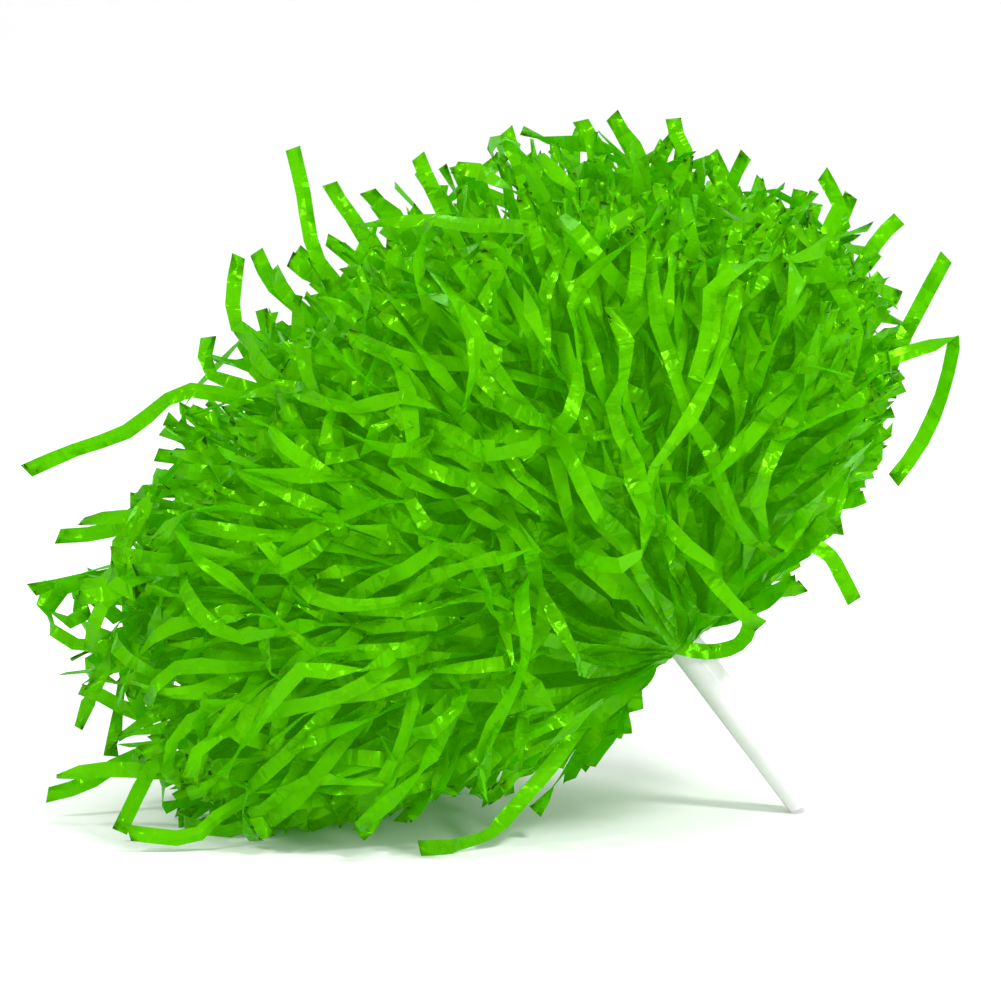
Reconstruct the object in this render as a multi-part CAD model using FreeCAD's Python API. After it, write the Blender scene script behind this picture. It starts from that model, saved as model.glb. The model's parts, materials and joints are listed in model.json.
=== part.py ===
"""Cheer pom pom: plies of slit plastic film bound to the top of a stick handle.

The pom lies as it is put down, on the end of its stick and on the streamers of its lowest tuft. Each
ply of film is one heading, rolled round or into the stick, and the tufts of streamers that are slit
from it. Film bends where it leaves its heading, so each tuft hinges there. Sizes are in mm and degrees.
"""

import FreeCAD, Part
import math
import os
from FreeCAD import Placement, Rotation, Vector

# Stick: a plain round tube
stick_diameter = 14.5
stick_wall = 1.2
stick_bare = 84.0  # from its free end to the foot of the headings
stick_bound = 30.0  # inside the headings, up to its top end
stick_tilt = 53.0  # between the stick and the floor, as the pom lies
seat_depth = 0.25  # the bound end is turned down this much, so that the film keys on to it
seat_below = 2.0  # how far the turned-down end shows below the headings

# Plug in the free end: a flat face flush with the tube, and a spigot in the bore
plug_rim = 1.5
plug_length = 8.0
plug_wall = 1.5

# Headings: the uncut edges of the film, rolled up
heading_height = 25.0
core_heading_length = 22.0  # rolled tight and pushed down the stick's bore
inner_heading_thickness = 2.2
outer_heading_thickness = 2.6

# Tape wound over the headings, and the staples under it
tape_thickness = 0.8
tape_width = 18.0
staple_count = 4
staple_crown = 10.0
staple_leg = 6.6
staple_wire = 0.5
staple_press = 0.1  # how deep a crown is pressed into the film

# Room for a tuft to turn where it leaves its heading
root_gap = 0.9

# Core tuft: a round tuft that stands up along the stick
core_root_diameter = 9.0
core_length = 196.0
core_half_angle = 8.5
core_dome = 8.0

# Inner ply: tufts in a ring, close to the stick's own line
inner_count = 6
inner_width = 45.0
inner_near_angle = 24.0
inner_far_angle = 33.0
inner_length = 200.0
inner_length_lean = 10.0  # longer on the floor side, shorter on the upper side

# Outer ply: tufts in a ring, spread almost square to the stick
outer_count = 8
outer_width = 37.0
outer_near_angle = 60.0
outer_far_angle = 70.0
outer_length = 160.0
outer_length_lean = 32.0  # longer on the floor side, shorter on the upper side
outer_length_oval = 53.0  # longer towards the floor and away from it, shorter at front and back
lowest_near_angle = 64.0  # of the tuft that the pom lies on
floor_press = 5.0  # how much further round that tuft would reach if no floor stopped it

root_thickness = 1.5  # of a tuft where it leaves its heading
tuft_bow = 5.0  # how far the streamers bow outwards in mid length

bore_radius = stick_diameter / 2 - stick_wall
stick_radius = stick_diameter / 2
seat_radius = stick_radius - seat_depth
grip_length = stick_bare - seat_below
inner_heading_radius = seat_radius + inner_heading_thickness
outer_heading_radius = inner_heading_radius + outer_heading_thickness
hinge_height = heading_height + root_gap / 2
core_hinge_height = stick_bound + root_gap / 2
tape_foot = (heading_height - tape_width) / 2
end_drop = stick_bare * math.sin(math.radians(stick_tilt)) + stick_radius * math.cos(math.radians(stick_tilt))

up = Vector(0, 0, 1)
foot = Vector(0, 0, 0)  # the stick's own frame starts at the foot of the headings, with +Z to the head


def ring(inner, outer, bottom, height):
    """A tube wall between two radii."""
    at = Vector(0, 0, bottom)
    return Part.makeCylinder(outer, height, at).cut(Part.makeCylinder(inner, height, at))


def handle_tube():
    grip = ring(bore_radius, stick_radius, -stick_bare, grip_length)
    seat = ring(bore_radius, seat_radius, -seat_below, seat_below + stick_bound)
    return grip.fuse(seat).removeSplitter().Solids[0]


def handle_end_plug():
    """A cup: its closed rim is flush with the end of the tube, and its wall grips the bore."""
    spigot = Part.makeCylinder(bore_radius, plug_length, Vector(0, 0, -stick_bare))
    hollow = Part.makeCylinder(bore_radius - plug_wall, plug_length, Vector(0, 0, plug_rim - stick_bare))
    return spigot.cut(hollow)


def staple(azimuth):
    """A crown that lies along the outer heading, and two legs driven straight in."""
    heel = heading_height / 2 - staple_crown / 2
    half = staple_wire / 2
    face = outer_heading_radius - staple_press
    crown = Part.makeBox(staple_wire, staple_wire, staple_crown, Vector(face, -half, heel))
    legs = [
        Part.makeBox(staple_leg, staple_wire, staple_wire, Vector(face - staple_leg, -half, height))
        for height in (heel, heel + staple_crown - staple_wire)
    ]
    whole = crown.fuse(legs).removeSplitter().Solids[0]
    whole.rotate(foot, up, azimuth)
    return whole


def bound_pieces():
    """The headings, tape and staples. Each staple leg has its own hole through the film and the tube."""
    pieces = {
        "handle_tube": handle_tube(),
        "core_heading": Part.makeCylinder(
            bore_radius, core_heading_length, Vector(0, 0, stick_bound - core_heading_length)
        ),
        "inner_heading": ring(seat_radius, inner_heading_radius, 0, heading_height),
        "outer_heading": ring(inner_heading_radius, outer_heading_radius, 0, heading_height),
        "binding_tape": ring(
            outer_heading_radius, outer_heading_radius + tape_thickness, tape_foot, tape_width
        ),
    }
    staples = [staple(360.0 * (n + 0.5) / staple_count) for n in range(staple_count)]
    pieces = {name: shape.cut(staples) for name, shape in pieces.items()}
    pieces["staples"] = Part.makeCompound(staples)
    pieces["handle_end_plug"] = handle_end_plug()
    return pieces


def core_tuft():
    """A cone that widens from the stick's bore, with an end that is part of a ball."""
    root = core_root_diameter / 2
    bottom = stick_bound + root_gap
    spread = math.tan(math.radians(core_half_angle))
    brim = root + core_length * spread
    middle = Vector(root + core_length * spread / 2, 0, bottom + core_length / 2)
    ends = [Vector(root, 0, bottom), Vector(brim, 0, bottom + core_length)]
    top = Vector(0, 0, bottom + core_length + core_dome)
    ball = (brim**2 + core_dome**2) / (2 * core_dome)
    half_turn = math.asin(brim / ball) / 2
    shoulder = top + Vector(math.sin(half_turn), 0, math.cos(half_turn) - 1) * ball
    edges = [
        Part.makeLine(Vector(0, 0, bottom), ends[0]),
        Part.Arc(ends[0], middle + Vector(tuft_bow / 2, 0, 0), ends[1]).toShape(),
        Part.Arc(ends[1], shoulder, top).toShape(),
        Part.makeLine(top, Vector(0, 0, bottom)),
    ]
    return Part.Face(Part.Wire(edges)).revolve(foot, up, 360)


def ring_tuft(azimuth, width, root_radius, near_angle, far_angle, length):
    """A fan of film: a blade from its heading to a rounded end, swept part of the way round the stick.

    Its two sides leave the stick's line at the near and far angles, and bow outwards.
    """
    root = Vector(root_radius, 0, heading_height + root_gap)
    angles = (near_angle, far_angle)
    heels = [root + Vector(side * root_thickness / 2, 0, 0) for side in (-1, 1)]
    ways = [Vector(math.sin(math.radians(a)), 0, math.cos(math.radians(a))) for a in angles]
    bows = [Vector(way.z, 0, -way.x) * tuft_bow for way in ways]
    tips = [heel + way * length for heel, way in zip(heels, ways)]
    middles = [(heel + tip) * 0.5 + bow for heel, tip, bow in zip(heels, tips, bows)]
    middle_way = math.radians(sum(angles) / 2)
    crest = root + Vector(math.sin(middle_way), 0, math.cos(middle_way)) * (length + tuft_bow / 2)
    edges = [
        Part.makeLine(heels[0], heels[1]),
        Part.Arc(heels[1], middles[1], tips[1]).toShape(),
        Part.Arc(tips[1], crest, tips[0]).toShape(),
        Part.Arc(tips[0], middles[0], heels[0]).toShape(),
    ]
    blade = Part.Face(Part.Wire(edges))
    blade.rotate(foot, up, azimuth - width / 2)
    return blade.revolve(foot, up, width)


def floor_angle(length, root_radius):
    """How far round from the stick's line the lowest tuft reaches: to the floor at its tip, and a bit more."""
    rise = end_drop + heading_height * math.sin(math.radians(stick_tilt))
    rise -= root_radius * math.cos(math.radians(stick_tilt))
    return stick_tilt + math.degrees(math.asin(rise / length)) + floor_press


def ply(name, count, width, root_radius, angles, lowest_angles, length_at):
    """The tufts of a ply and their hinges. Azimuth 0 faces the floor, and 90 the front."""
    tufts, hinges = {}, {}
    for n in range(count):
        azimuth = 360.0 * n / count
        length = length_at(math.radians(azimuth))
        near, far = angles if n else lowest_angles
        label = f"{name}_tuft_{n + 1}"
        tufts[label] = ring_tuft(azimuth, width, root_radius, near, far, length)
        out = Rotation(up, azimuth).multVec(Vector(1, 0, 0))
        hinges[label] = (out * root_radius + up * hinge_height, up.cross(out))
    return tufts, hinges


def lay_down(pieces, hinges):
    """Tilts everything on to the floor at z = 0, trims what would go under it, and centres the whole."""
    tilt = math.radians(stick_tilt)
    along = Vector(-math.cos(tilt), 0, math.sin(tilt))
    to_floor = Vector(-math.sin(tilt), 0, -math.cos(tilt))
    turn = Rotation(to_floor, along.cross(to_floor), along, "ZXY")
    place = Placement(Vector(0, 0, end_drop), turn)
    laid = {name: shape.transformed(place.toMatrix(), True) for name, shape in pieces.items()}
    depth = stick_bare + outer_length
    floor = Part.makeBox(8 * depth, 8 * depth, depth, Vector(-4 * depth, -4 * depth, -depth))
    laid["outer_tuft_1"] = laid["outer_tuft_1"].cut(floor)
    whole = Part.makeCompound(list(laid.values())).optimalBoundingBox()
    shift = Vector(-whole.Center.x, -whole.Center.y, 0)
    laid = {name: shape.translated(shift) for name, shape in laid.items()}
    turned = {name: (place.multVec(at) + shift, turn.multVec(axis)) for name, (at, axis) in hinges.items()}
    stick = {"end": place.multVec(up * -stick_bare) + shift, "foot": place.multVec(foot) + shift}
    return laid, turned, {**stick, "along": along}


def inner_length_at(azimuth):
    return inner_length + inner_length_lean * math.cos(azimuth)


def outer_length_at(azimuth):
    lean = outer_length_lean * math.cos(azimuth)
    return outer_length + lean + outer_length_oval * math.cos(2 * azimuth)


def build():
    """Every piece by node name, every tuft's hinge as (point, axis), and the stick's line."""
    pieces = bound_pieces()
    pieces["core_tuft"] = core_tuft()
    hinges = {"core_tuft": (up * core_hinge_height, Vector(0, 1, 0))}
    inner_root = (seat_radius + inner_heading_radius) / 2
    outer_root = (inner_heading_radius + outer_heading_radius) / 2
    inner_angles = (inner_near_angle, inner_far_angle)
    outer_angles = (outer_near_angle, outer_far_angle)
    lowest_angles = (lowest_near_angle, floor_angle(outer_length_at(0), outer_root))
    plies = [
        ply("inner", inner_count, inner_width, inner_root, inner_angles, inner_angles, inner_length_at),
        ply("outer", outer_count, outer_width, outer_root, outer_angles, lowest_angles, outer_length_at),
    ]
    for tufts, tuft_hinges in plies:
        pieces.update(tufts)
        hinges.update(tuft_hinges)
    return lay_down(pieces, hinges)


nodes, hinge_lines, stick_line = build()
os.makedirs("parts", exist_ok=True)
for node, solid in nodes.items():
    solid.exportStep(f"parts/{node}.step")
    print(f"{node}: {len(solid.Solids)} solid, {solid.Volume / 1000:.2f} cm3")
for node, (point, axis) in hinge_lines.items():
    print(f"{node} turns at {tuple(round(v, 3) for v in point)} about {tuple(round(v, 5) for v in axis)}")
print(f"stick end {tuple(round(v, 3) for v in stick_line['end'])}")
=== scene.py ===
# Cheer pom pom: slit film streamers bound to a white stick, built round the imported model.
import bpy
import json
import math
import numpy as np
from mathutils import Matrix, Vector


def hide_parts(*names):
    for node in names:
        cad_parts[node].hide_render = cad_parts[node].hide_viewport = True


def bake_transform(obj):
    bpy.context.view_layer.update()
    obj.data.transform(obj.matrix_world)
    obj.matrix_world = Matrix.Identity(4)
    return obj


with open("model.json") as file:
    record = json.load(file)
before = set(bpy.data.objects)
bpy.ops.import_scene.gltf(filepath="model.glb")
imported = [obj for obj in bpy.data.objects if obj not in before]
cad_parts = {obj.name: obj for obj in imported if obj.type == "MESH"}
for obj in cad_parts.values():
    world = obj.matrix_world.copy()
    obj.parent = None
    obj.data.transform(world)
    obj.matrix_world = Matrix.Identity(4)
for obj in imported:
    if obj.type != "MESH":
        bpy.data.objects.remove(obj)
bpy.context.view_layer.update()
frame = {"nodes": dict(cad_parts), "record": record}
print("frame loaded:", len(frame["nodes"]), "nodes")

# the stick's own directions, which everything else is measured in
stick = {
    "bareLength": 0.084,       # from the free end to the foot of the headings
    "headingHeight": 0.025,
}
mounts = {m["name"]: m for m in frame["record"]["mounts"]}
stickEnd = np.array(mounts["handle_end"]["pos_m"])
along = -np.array(mounts["handle_end"]["axis"])            # from the free end to the head
toFront = np.array([0.0, -1.0, 0.0])
toFloor = np.cross(along, -toFront)                        # square to the stick, on the floor's side
headTop = stickEnd + along * (stick["bareLength"] + stick["headingHeight"])


# camera, floor and lights
view = {
    "aim": (0.0112, 0.0, 0.1300),
    "elevation": 8.0,
    "distance": 2.4,
    "width": 0.4104,           # what the view takes in at the aim, side to side
}


def placeCamera():
    rise = math.radians(view["elevation"])
    camera = bpy.data.objects.new("camera", bpy.data.cameras.new("camera"))
    bpy.context.scene.collection.objects.link(camera)
    offset = Vector((0.0, -math.cos(rise), math.sin(rise))) * view["distance"]
    camera.location = Vector(view["aim"]) + offset
    camera.rotation_euler = (-offset).to_track_quat("-Z", "Y").to_euler()
    camera.data.lens = camera.data.sensor_width * view["distance"] / view["width"]
    camera.data.clip_end = 50.0
    bpy.context.scene.camera = camera


studio = {
    "floorWidth": 9.0,
    "floorFront": -4.0,
    "wallStart": 2.2,          # where the floor begins to turn up into the wall
    "wallRadius": 1.2,
    "wallHeight": 4.0,
    "floorTone": (0.93, 0.93, 0.93, 1.0),
    "floorRoughness": 0.9,
    "worldStrength": 0.90,
}
lamps = {
    # name: (place, size, watts)
    "key_light": ((0.9, -0.9, 1.5), 0.34, 20.0),
    "left_light": ((-1.0, -1.1, 1.2), 0.30, 13.0),
    "low_light": ((0.9, -1.5, 0.6), 0.28, 8.0),
    "back_light": ((-0.3, 1.2, 1.6), 0.9, 10.0),
}


def makeStudio():
    # floor and wall in one sweep: the profile runs back, turns up through a quarter circle, and rises
    turn = np.linspace(0.0, math.pi / 2, 13)
    r = studio["wallRadius"]
    start = studio["wallStart"]
    y = np.concatenate([[studio["floorFront"]], start + r * np.sin(turn), [start + r]])
    z = np.concatenate([[0.0], r * (1.0 - np.cos(turn)), [studio["wallHeight"]]])
    half = studio["floorWidth"] / 2
    verts = np.stack([np.repeat([[-half], [half]], len(y), 1), np.tile(y, (2, 1)), np.tile(z, (2, 1))], -1)
    k = np.arange(len(y) - 1)
    faces = np.stack([k, k + len(y), k + len(y) + 1, k + 1], -1)
    mesh = bpy.data.meshes.new("studio_floor")
    mesh.from_pydata(verts.reshape(-1, 3).tolist(), [], faces.tolist())
    mesh.shade_smooth()
    floor = bpy.data.objects.new("studio_floor", mesh)
    bpy.context.scene.collection.objects.link(floor)
    floorPaint = bpy.data.materials.new("studio paint")
    floorPaint.use_nodes = True
    shader = floorPaint.node_tree.nodes["Principled BSDF"]
    shader.inputs["Base Color"].default_value = studio["floorTone"]
    shader.inputs["Roughness"].default_value = studio["floorRoughness"]
    mesh.materials.append(floorPaint)

    world = bpy.data.worlds.new("studio air")
    world.use_nodes = True
    air = world.node_tree.nodes["Background"]
    air.inputs["Color"].default_value = (1.0, 1.0, 1.0, 1.0)
    air.inputs["Strength"].default_value = studio["worldStrength"]
    bpy.context.scene.world = world
    for name, (place, size, watts) in lamps.items():
        light = bpy.data.lights.new(name, "AREA")
        light.shape = "DISK"
        light.size = size
        light.energy = watts
        lamp = bpy.data.objects.new(name, light)
        lamp.location = place
        lamp.rotation_euler = (Vector(headTop) - Vector(place)).to_track_quat("-Z", "Y").to_euler()
        bpy.context.scene.collection.objects.link(lamp)
    bpy.context.scene.view_settings.view_transform = "Standard"


placeCamera()
makeStudio()
print("camera and studio ready")


# the film's path: each streamer is a chain of stations that grows away from its heading
film = {
    "width": 0.00635,          # slit width
    "length": 0.29,            # depth of the ply, from heading to tip
    "keptRoot": 0.045,         # no streamer is trimmed nearer its heading than this
    "leastLength": 0.05,
    "stations": 27,
    "rootStep": 0.0037,        # spacing of the first stations, where the film turns sharply
    "fineSteps": (5, 10),      # how many are spaced so: plain streamers, and folded ones
    "thickness": 0.00014,
    "foldRise": 0.0011,        # how far the fold line along the middle stands up, at most
    "foldRisePower": 2.5,      # high, so that most streamers are nearly flat
    "foldKept": (0.65, 0.35),  # share of that rise along the streamer: middle, and swing
    "foldPitch": (40, 120),    # that swing's waves, in radians per metre
    "tipSlant": 0.0016,        # how far a tip's corner is cut off square
    "creaseLimit": 30.0,       # a bend of more degrees than this is a sharp crease
}
head = {
    # how far the streamers reach from the headings' top, by the angle from the stick's line:
    # plus is the floor's side, minus the upper side
    "angles": (-180, -140, -118, -110, -103, -96, -82, -72, -65, -58, -45, -30, -20,
               0, 28, 40, 51, 60, 71, 80, 98, 108, 117, 125, 140, 180),
    "reach": (0.03, 0.037, 0.062, 0.080, 0.090, 0.103, 0.145, 0.162, 0.175, 0.177, 0.177, 0.186, 0.190,
              0.193, 0.199, 0.217, 0.243, 0.243, 0.220, 0.204, 0.107, 0.101, 0.087, 0.073, 0.052, 0.03),
    "halfDepth": 0.158,
    "domeFall": 0.93,          # how far the depth falls off towards the outline, as a share squared
    "outlineFall": 0.80,       # how far the outline draws in towards the front and the back
    "outlineDepth": 1.04,      # the depth that this is measured by, in half depths
    "openSide": 116.0,         # widest angle from the stick's line, to the floor and away from it
    "openFront": 66.0,         # and towards the front and the back
    "clearOfTape": 0.0170,     # how far from the stick's middle it keeps beside the tape
    "clearAngle": 0.35,        # how strongly it turns away from the tape
    "floorGap": 0.0003,
    "stationGap": 0.0016,      # how much higher than that the middle of a streamer stays
}


def smoothStep(low, high, value):
    t = np.clip((value - low) / (high - low), 0.0, 1.0)
    return t * t * (3.0 - 2.0 * t)


def unit(v):
    return v / np.maximum(np.linalg.norm(v, axis=-1, keepdims=True), 1e-9)


def dot(a, b):
    return np.sum(a * b, axis=-1, keepdims=True)


def radialAt(azimuth):
    # azimuth 0 is the floor's side, a quarter turn is the front
    return np.cos(azimuth)[..., None] * toFloor + np.sin(azimuth)[..., None] * toFront


def fullness(points, limit):
    # 0 at the headings' top, 1 on the head's outer surface; also the outward direction there
    q = points - headTop
    a, b, d = q @ along, q @ toFloor, q @ toFront
    flat = np.hypot(a, b)
    reach = np.interp(np.degrees(np.arctan2(b, a)), head["angles"], head["reach"]) * limit
    depth = head["halfDepth"] * limit
    level = (flat / reach) ** 2 + (d / depth) ** 2
    outward = (a / reach**2)[:, None] * along + (b / reach**2)[:, None] * toFloor
    outward = outward + (d / depth**2)[:, None] * toFront
    return np.sqrt(level), unit(outward)


def reached(points, limit, depthLimit):
    # share of the reach used up square to the depth, share of the depth, and the depth itself
    q = points - headTop
    a, b, d = q @ along, q @ toFloor, q @ toFront
    flat = np.hypot(a, b)
    reach = np.interp(np.degrees(np.arctan2(b, a)), head["angles"], head["reach"]) * limit
    dome = np.sqrt(1 - head["domeFall"] * np.clip(flat / reach, 0, 1) ** 2)
    outlineDepth = head["outlineDepth"] * head["halfDepth"]
    outline = np.sqrt(1 - head["outlineFall"] * np.clip(np.abs(d) / outlineDepth, 0, 1) ** 2)
    return flat / (reach * outline), np.abs(d) / (head["halfDepth"] * depthLimit * dome), d


def trimStreamers(points, arc, limit):
    # Cuts each streamer where it passes the head's outline, and spaces its stations out afresh.
    count, stations, _ = points.shape
    every = np.repeat(limit, stations)
    used, _, _ = reached(points.reshape(-1, 3), every, every)
    used = np.where(arc < film["keptRoot"], 0, used.reshape(count, stations))
    past = used > 1
    first = np.argmax(past, 1)
    rows = np.arange(count)
    before = used[rows, first - 1]
    part = np.clip((1 - before) / np.maximum(used[rows, first] - before, 1e-6), 0, 1)
    cut = arc[rows, first - 1] + part * (arc[rows, first] - arc[rows, first - 1])
    length = np.where(past.any(1), np.maximum(cut, film["leastLength"]), arc[:, -1])
    newArc = arc * (length / arc[:, -1])[:, None]
    low = np.clip((arc[:, None, :] <= newArc[:, :, None]).sum(-1) - 1, 0, stations - 2)
    share = (newArc - arc[rows[:, None], low]) / (arc[rows[:, None], low + 1] - arc[rows[:, None], low])
    share = share[..., None]
    newPoints = points[rows[:, None], low] * (1 - share) + points[rows[:, None], low + 1] * share
    return newPoints, newArc


growth = {
    # lengths are in metres and tilts in radians; a pair without a note is least and most
    "swingPitch": (0.045, 0.11),   # slow waves
    "swingTilt": (0.02, 0.10),     # at the heading, and what is added by the tip
    "kinkChance": (0.09, 0.30),    # at each station: at the heading, and what is added by the tip
    "kinkTilt": (0.16, 0.95),      # the same
    "kinkKept": 0.85,              # share of a kink that the next station still has
    "kinkFrom": (0.03, 0.15),      # distance from the heading over which the kinks set in
    "curlShare": 0.55,             # share of the streamers whose tips curl
    "curlStart": (0.62, 0.94),     # share of the length
    "curlRate": (20, 70),          # tilt per metre
    "bentShare": 0.20,             # share of the streamers that are folded over once
    "bentStart": (0.50, 0.88),
    "bentTilt": (0.8, 2.3),
    "droop": (0.05, 0.42),         # pull towards the floor at the tip
    "droopPower": 1.4,             # above 1, so that it starts late
    "lieShare": 0.30,              # share of the streamers that lie over to one side near the outline
    "lieIn": 0.8,                  # how much of their way outwards those lose
    "lieAside": 0.9,               # and how strongly they turn aside
    "weavePitch": (0.04, 0.11),    # it dives under its neighbours and comes up again
    "weave": (0.79, 0.21),         # share of the depth: middle, and swing to either side
    "tipDip": 0.25,                # how much deeper the tip lies
    "turnOut": (0.003, 0.030),     # distance over which it turns from the stick's line to its own
    "turnOutBow": 0.25,            # how far it bows away from the stick as it turns
    "overFrom": 0.001,             # a folded streamer goes over the headings' top in a half turn ...
    "overLength": 0.0105,
    "overTurn": 176.0,
    "turnBack": (0.031, 0.041),    # ... and turns back up below it
    "turnBackBow": 0.6,
    "rootSink": 0.002,             # how deep the film starts in its heading
    "surfaceDepth": (0.72, 1.0),   # shares of the depth over which it is turned along the surface
    "surfaceFrom": (0.03, 0.06),   # distance from the heading over which that sets in
    "pushIn": 2.2,                 # how strongly it is pushed back in past that surface
    "runOn": 0.45,                 # how strongly it runs on away from the headings' top
    "outlineReach": (0.78, 1.0),   # the same two for the outline
    "outlineFrom": (0.05, 0.09),
    "tapeFrom": 0.009,             # distance from the heading past which it keeps clear of the tape
}


def tiltStreamers(random, arc, share, length, wander):
    # How far a streamer leans from its own direction, two ways square to it, at each station: slow
    # waves that grow along it, plus kinks that fade out, plus a curled tip, plus one sharp bend.
    count, stations = arc.shape
    phase = random.uniform(0, 2 * math.pi, (count, 2, 2))
    pitch = random.uniform(*growth["swingPitch"], (count, 2, 2))
    swing = np.sin(arc[:, :, None, None] * 2 * math.pi / pitch[:, None] + phase[:, None])
    swing = swing - np.sin(phase[:, None])
    small, grows = growth["swingTilt"]
    slow = swing.sum(-1) * (small + grows * share[..., None]) * wander[:, None, None]
    small, grows = growth["kinkChance"]
    kinkHere = random.uniform(size=(count, stations)) < small + grows * share**1.5
    small, grows = growth["kinkTilt"]
    kinkSize = random.normal(0, 1, (count, stations, 2)) * (small + grows * share[..., None])
    kink = np.zeros((count, stations, 2))
    for i in range(1, stations):
        added = np.where(kinkHere[:, i, None], kinkSize[:, i], 0.0)
        kink[:, i] = kink[:, i - 1] * growth["kinkKept"] + added
    kink[:, 1:-1] = 0.25 * kink[:, :-2] + 0.5 * kink[:, 1:-1] + 0.25 * kink[:, 2:]
    kink *= smoothStep(*growth["kinkFrom"], arc)[..., None] * wander[:, None, None]
    curlStart = random.uniform(*growth["curlStart"], (count, 1))
    curlTurn = random.uniform(0, 2 * math.pi, count)
    curls = random.uniform(*growth["curlRate"], count)
    curlRate = curls * (random.uniform(size=count) < growth["curlShare"])
    curl = np.maximum(arc - curlStart * length[:, None], 0) * curlRate[:, None]
    # some streamers are folded over once, and run on another way
    bentStart = random.uniform(*growth["bentStart"], (count, 1))
    bends = random.uniform(*growth["bentTilt"], count)
    bentTilt = bends * (random.uniform(size=count) < growth["bentShare"])
    bentTurn = random.uniform(0, 2 * math.pi, count)
    bent = bentTilt[:, None] * (share > bentStart)
    tilt = slow + kink + curl[..., None] * np.stack([np.cos(curlTurn), np.sin(curlTurn)], -1)[:, None]
    tilt += bent[..., None] * np.stack([np.cos(bentTurn), np.sin(bentTurn)], -1)[:, None]
    return tilt


def growStreamers(random, azimuth, lean, ring, length, limit, folded, wander):
    # Each step adds its length times a direction: the streamer's own direction, tilted, pulled
    # down a little, and turned aside where it meets the head's outer surface, the tape or the
    # floor. A folded streamer first runs back down outside the headings.
    count = len(azimuth)
    stations = film["stations"]
    radial = radialAt(azimuth)
    aim = np.cos(lean)[:, None] * along + np.sin(lean)[:, None] * radial
    sideA = unit(radial - dot(radial, aim) * aim)
    sideB = np.cross(aim, sideA)

    plainFine, foldedFine = film["fineSteps"]
    fine = np.where(folded, foldedFine, plainFine)[:, None]
    index = np.arange(stations - 1)[None, :]
    coarse = (length[:, None] - fine * film["rootStep"]) / (stations - 1 - fine)
    step = np.where(index < fine, film["rootStep"], coarse)
    arc = np.concatenate([np.zeros((count, 1)), np.cumsum(step, 1)], 1)
    share = arc / length[:, None]

    tilt = tiltStreamers(random, arc, share, length, wander)
    droop = random.uniform(*growth["droop"], count)
    lies = random.uniform(size=count) < growth["lieShare"]
    lieOver = lies * random.uniform(-1.0, 1.0, count)
    weavePitch = random.uniform(*growth["weavePitch"], count)
    weavePhase = random.uniform(0, 2 * math.pi, count)
    weaveMiddle, weaveSwing = growth["weave"]
    lowest = head["floorGap"] + head["stationGap"]

    place = headTop + radial * ring[:, None] - along * growth["rootSink"]
    points = np.empty((count, stations, 3))
    points[:, 0] = place
    for i in range(stations - 1):
        at = arc[:, i] + step[:, i] / 2
        # the direction it grows in at this distance from its root
        out = smoothStep(*growth["turnOut"], at)[:, None]
        bow = growth["turnOutBow"] * np.sin(math.pi * out) * radial
        plain = unit((1 - out) * along + out * aim + bow)
        turnedOver = np.clip((at - growth["overFrom"]) / growth["overLength"], 0, 1)[:, None]
        over = turnedOver * math.radians(growth["overTurn"])
        down = np.cos(over) * along + np.sin(over) * radial
        back = smoothStep(*growth["turnBack"], at)[:, None]
        bow = growth["turnBackBow"] * np.sin(math.pi * back) * radial
        turned = unit((1 - back) * down + back * aim + bow)
        base = np.where(folded[:, None], turned, plain)
        amount = np.linalg.norm(tilt[:, i], axis=-1, keepdims=True)
        aside = (tilt[:, i, :1] * sideA + tilt[:, i, 1:] * sideB) / np.maximum(amount, 1e-6)
        go = unit(np.cos(amount) * base + np.sin(amount) * aside)
        go[:, 2] -= droop * share[:, i] ** growth["droopPower"]
        # near the front and back surfaces it lies down and runs on away from the root
        weave = weaveMiddle + weaveSwing * np.sin(at * 2 * math.pi / weavePitch + weavePhase)
        weave -= growth["tipDip"] * smoothStep(0.80, 1.0, share[:, i])
        reachedFlat, reachedDepth, depth = reached(place, limit, limit * weave)
        held = smoothStep(*growth["surfaceDepth"], reachedDepth) * smoothStep(*growth["surfaceFrom"], at)
        held = held[:, None]
        facing = np.sign(depth)[:, None] * toFront
        go = go - held * np.maximum(dot(go, facing), 0) * facing
        go = go - growth["pushIn"] * np.clip(reachedDepth - 1.0, 0, 0.3)[:, None] * held * facing
        q = place - headTop
        go = unit(unit(go) + growth["runOn"] * held * unit(q - dot(q, facing) * facing))
        # near the outline some of them lie over to one side
        outward = unit(q - dot(q, toFront) * toFront)
        sideways = np.cross(outward, toFront) * lieOver[:, None]
        near = smoothStep(*growth["outlineReach"], reachedFlat) * smoothStep(*growth["outlineFrom"], at)
        near = (near * np.abs(lieOver))[:, None]
        inwards = growth["lieIn"] * near * np.maximum(dot(go, outward), 0) * outward
        go = unit(go - inwards + growth["lieAside"] * near * sideways)
        # below the headings' top it keeps clear of the tape
        height = dot(q, along)
        away = q - height * along
        offAxis = np.linalg.norm(away, axis=-1, keepdims=True)
        away = away / np.maximum(offAxis, 1e-6)
        besideTape = (height < 0.001) & (offAxis < head["clearOfTape"])
        close = besideTape & (at > growth["tapeFrom"])[:, None]
        go = unit(go + close * (head["clearAngle"] - np.minimum(dot(go, away), 0)) * away)
        # the floor: no step ends below it
        tooLow = place[:, 2] + go[:, 2] * step[:, i] < lowest
        go[:, 2] = np.where(tooLow, np.maximum((lowest - place[:, 2]) / step[:, i], -0.9), go[:, 2])
        go = unit(go)
        place = place + go * step[:, i, None]
        points[:, i + 1] = place
    return points, arc


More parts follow.
